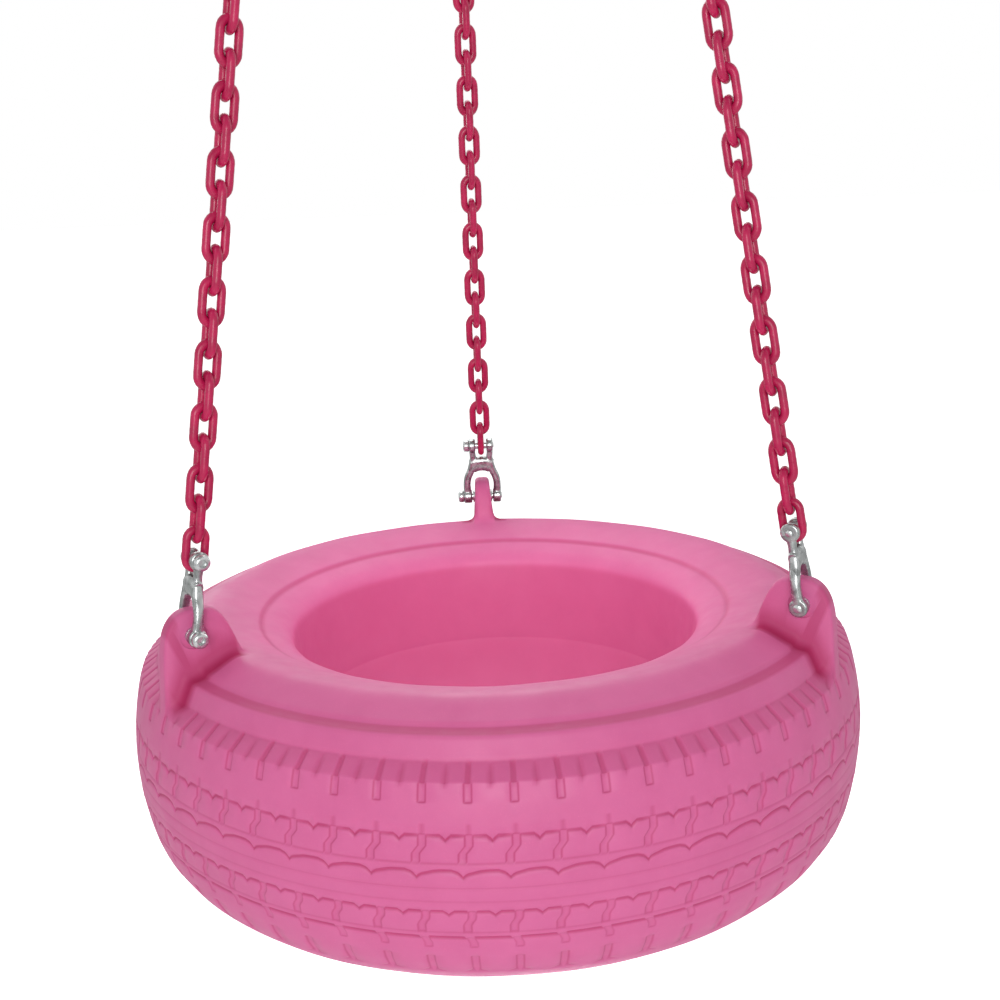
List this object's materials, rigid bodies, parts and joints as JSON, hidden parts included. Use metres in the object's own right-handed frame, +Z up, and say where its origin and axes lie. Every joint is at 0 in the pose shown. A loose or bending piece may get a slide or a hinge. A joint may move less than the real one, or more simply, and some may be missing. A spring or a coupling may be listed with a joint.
{
  "type": "tire swing",
  "caption": "Pink hollow plastic tire seat hung level by coated chains and double clevises from a bolt-on universal swivel, for swinging any way and spinning.",
  "frame": {"origin": "centre of the hanger plate's mounting face, at the middle of its four bolt holes", "axes": "+Z up out of the mounting face along the hanging axis, +Y from the swing's axis towards the rear chain, +X to the right seen from the front, with the left and right chains at the front"},
  "size_m": [0.672, 0.6718, 1.7358],
  "materials": {
    "pink_plastic": "rotationally moulded polyethylene, satin, bright pink all through",
    "pink_coating": "dipped plastisol coating, glossy deep pink",
    "galvanised_steel": "hot-dip galvanised forging, dull grey",
    "bolt_steel": "zinc-plated steel",
    "swivel_iron": "galvanised casting, matt grey",
    "bronze": "oil-filled bronze",
    "bearing_steel": "ground steel",
    "cage_brass": "pressed brass",
    "seal_rubber": "black rubber, matt"
  },
  "bodies": {
    "hanger": {"hanger_bracket": "swivel_iron", "fore_aft_pin": "bolt_steel", "fore_aft_nut": "bolt_steel", "fore_aft_washers": "bolt_steel"},
    "cross": {"cross_block": "swivel_iron", "fore_aft_bushes": "bronze", "side_bushes": "bronze"},
    "housing": {"swivel_housing": "swivel_iron", "side_pin": "bolt_steel", "side_nut": "bolt_steel", "side_washers": "bolt_steel", "housing_cap": "swivel_iron", "cap_screws": "bolt_steel", "spindle_bush": "bronze", "lower_race": "bearing_steel", "bearing_balls": "bearing_steel", "ball_cage": "cage_brass", "grease_nipple": "cage_brass"},
    "rotor": {"spindle": "bearing_steel", "upper_race": "bearing_steel", "spindle_nut": "bolt_steel", "cotter_pin": "bolt_steel", "dust_seal": "seal_rubber", "spider": "swivel_iron", "spider_bolts": "bolt_steel", "spider_nuts": "bolt_steel"},
    "rear_chain": {"rear_chain": "pink_coating", "rear_clevis": "galvanised_steel", "rear_ear_bolt": "bolt_steel", "rear_link_bolt": "bolt_steel"},
    "left_chain": {"left_chain": "pink_coating"},
    "right_chain": {"right_chain": "pink_coating"},
    "left_clevis": {"left_clevis": "galvanised_steel", "left_ear_bolt": "bolt_steel", "left_link_bolt": "bolt_steel"},
    "right_clevis": {"right_clevis": "galvanised_steel", "right_ear_bolt": "bolt_steel", "right_link_bolt": "bolt_steel"},
    "seat": {"seat_shell": "pink_plastic", "ear_sleeves": "bolt_steel"}
  },
  "joints": [
    {"name": "swing_fore_aft", "type": "hinge", "parent": "hanger", "child": "cross", "pos_m": [0, 0, -0.048], "axis": [1, 0, 0], "range_deg": [-45, 45]},
    {"name": "swing_side", "type": "hinge", "parent": "cross", "child": "housing", "pos_m": [0, 0, -0.092], "axis": [0, 1, 0], "range_deg": [-40, 40]},
    {"name": "seat_spin", "type": "hinge", "parent": "housing", "child": "rotor", "pos_m": [0, 0, -0.17], "axis": [0, 0, 1], "continuous": true},
    {"name": "rear_chain_pivot", "type": "hinge", "parent": "rotor", "child": "rear_chain", "pos_m": [0, 0.08783, -0.232], "axis": [1, 0, 0], "range_deg": [-5, 5]},
    {"name": "seat_pivot", "type": "hinge", "parent": "rear_chain", "child": "seat", "pos_m": [0, 0.294, -1.48916], "axis": [1, 0, 0], "range_deg": [-1.55, 1.55]},
    {"name": "left_chain_pivot", "type": "hinge", "parent": "rotor", "child": "left_chain", "pos_m": [-0.07606, -0.04391, -0.232], "axis": [1, 0, 0], "range_deg": [-5.05, 5.05]},
    {"name": "right_chain_pivot", "type": "hinge", "parent": "rotor", "child": "right_chain", "pos_m": [0.07606, -0.04391, -0.232], "axis": [1, 0, 0], "range_deg": [-5.05, 5.05]},
    {"name": "left_clevis_pivot", "type": "hinge", "parent": "seat", "child": "left_clevis", "pos_m": [-0.25461, -0.147, -1.48916], "axis": [0.5, -0.866, 0], "range_deg": [-0.45, 0.45]},
    {"name": "right_clevis_pivot", "type": "hinge", "parent": "seat", "child": "right_clevis", "pos_m": [0.25461, -0.147, -1.48916], "axis": [0.5, 0.866, 0], "range_deg": [-0.45, 0.45]}
  ],
  "couplings": [
    {"joint": "seat_pivot", "follows": "rear_chain_pivot", "ratio": -0.2989},
    {"joint": "left_chain_pivot", "follows": "rear_chain_pivot", "ratio": 1.0066},
    {"joint": "right_chain_pivot", "follows": "rear_chain_pivot", "ratio": 1.0066},
    {"joint": "left_clevis_pivot", "follows": "rear_chain_pivot", "ratio": 0.0841},
    {"joint": "right_clevis_pivot", "follows": "rear_chain_pivot", "ratio": 0.0841}
  ]
}
